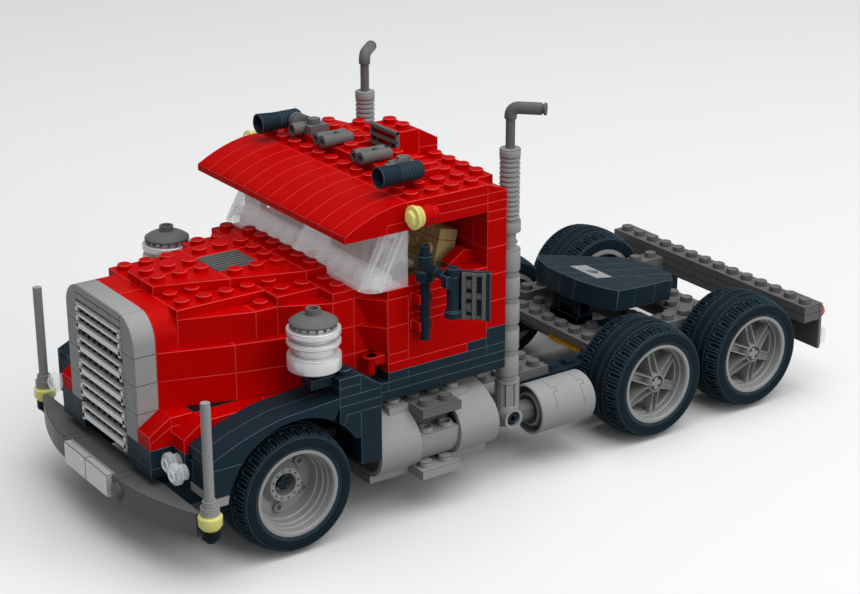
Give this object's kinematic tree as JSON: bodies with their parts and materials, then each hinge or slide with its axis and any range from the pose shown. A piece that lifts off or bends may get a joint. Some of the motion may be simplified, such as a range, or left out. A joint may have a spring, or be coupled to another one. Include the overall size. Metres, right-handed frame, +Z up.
{
  "type": "toy semi truck tractor unit",
  "caption": "Toy brick-built semi truck tractor unit with a long hood, visored cab, tandem rear axles, tall exhaust stacks and a tilting coupling plate.",
  "frame": {"origin": "centre of the bounding box's footprint, on the ground under the tyres", "axes": "the front bumper faces -Y, the tail bar is at +Y, +X is the truck's own left side and +Z is up"},
  "size_m": [0.1464, 0.2848, 0.1341],
  "materials": {
    "red": "gloss",
    "midnight": "gloss",
    "dark_grey": "gloss",
    "mid_grey": "gloss",
    "light_grey": "gloss",
    "silver": "gloss",
    "black": "gloss",
    "tan": "gloss",
    "clear": "gloss",
    "clear_yellow": "gloss",
    "clear_red": "gloss",
    "gold": "gloss",
    "tyre": "satin"
  },
  "bodies": {
    "truck": {"chassis_rails": "midnight", "chassis_plates": "dark_grey", "gold_strips": "gold", "coupling_hinge_base": "midnight", "tail_bar": "dark_grey", "tail_brackets": "dark_grey", "tail_lamps": "clear_red", "tail_tiles": "clear", "bumper": "mid_grey", "bumper_sign": "silver", "pole_feet": "black", "pole_rings": "clear_yellow", "guide_poles": "light_grey", "grille_shell": "mid_grey", "grille_slats": "silver", "shell_band": "red", "hood_plates": "red", "hood_vents": "dark_grey", "hood_sides": "red", "hood_core": "black", "arch_tops": "red", "lamp_blocks": "midnight", "headlamps": "clear", "fender_left": "midnight", "fender_right": "midnight", "cleaner_drums": "silver", "cleaner_caps": "dark_grey", "cab_base": "black", "cab_sill": "midnight", "cab_walls": "red", "cowl": "red", "roof_plates": "red", "visor": "red", "windscreen": "clear", "seats": "tan", "dashboard": "red", "steering_wheel": "light_grey", "roof_horns": "midnight", "roof_fittings": "mid_grey", "vent_box": "red", "vent_grille": "light_grey", "marker_lamps": "clear_yellow", "mirror_arms": "midnight", "mirror_heads": "midnight", "tank_drums": "light_grey", "tank_plates": "dark_grey", "stacks_lower": "dark_grey", "stacks_upper": "light_grey", "mufflers": "light_grey"},
    "coupling": {"coupling_plate": "midnight", "coupling_insert": "light_grey"},
    "front_wheelset": {"front_tyres": "tyre", "front_rims": "light_grey", "front_axle": "dark_grey"},
    "middle_wheelset": {"middle_tyres": "tyre", "middle_rims": "light_grey", "middle_axle": "dark_grey"},
    "rear_wheelset": {"rear_tyres": "tyre", "rear_rims": "light_grey", "rear_axle": "dark_grey"}
  },
  "joints": [
    {"name": "coupling_tilt", "type": "hinge", "parent": "truck", "child": "coupling", "pos_m": [0, 0.0616, 0.035], "axis": [1, 0, 0], "range_deg": [-1, 20]},
    {"name": "front_axle_spin", "type": "hinge", "parent": "truck", "child": "front_wheelset", "pos_m": [0, -0.0944, 0.0216], "axis": [1, 0, 0], "continuous": true},
    {"name": "middle_axle_spin", "type": "hinge", "parent": "truck", "child": "middle_wheelset", "pos_m": [0, 0.0576, 0.0216], "axis": [1, 0, 0], "continuous": true},
    {"name": "rear_axle_spin", "type": "hinge", "parent": "truck", "child": "rear_wheelset", "pos_m": [0, 0.1056, 0.0216], "axis": [1, 0, 0], "continuous": true}
  ]
}
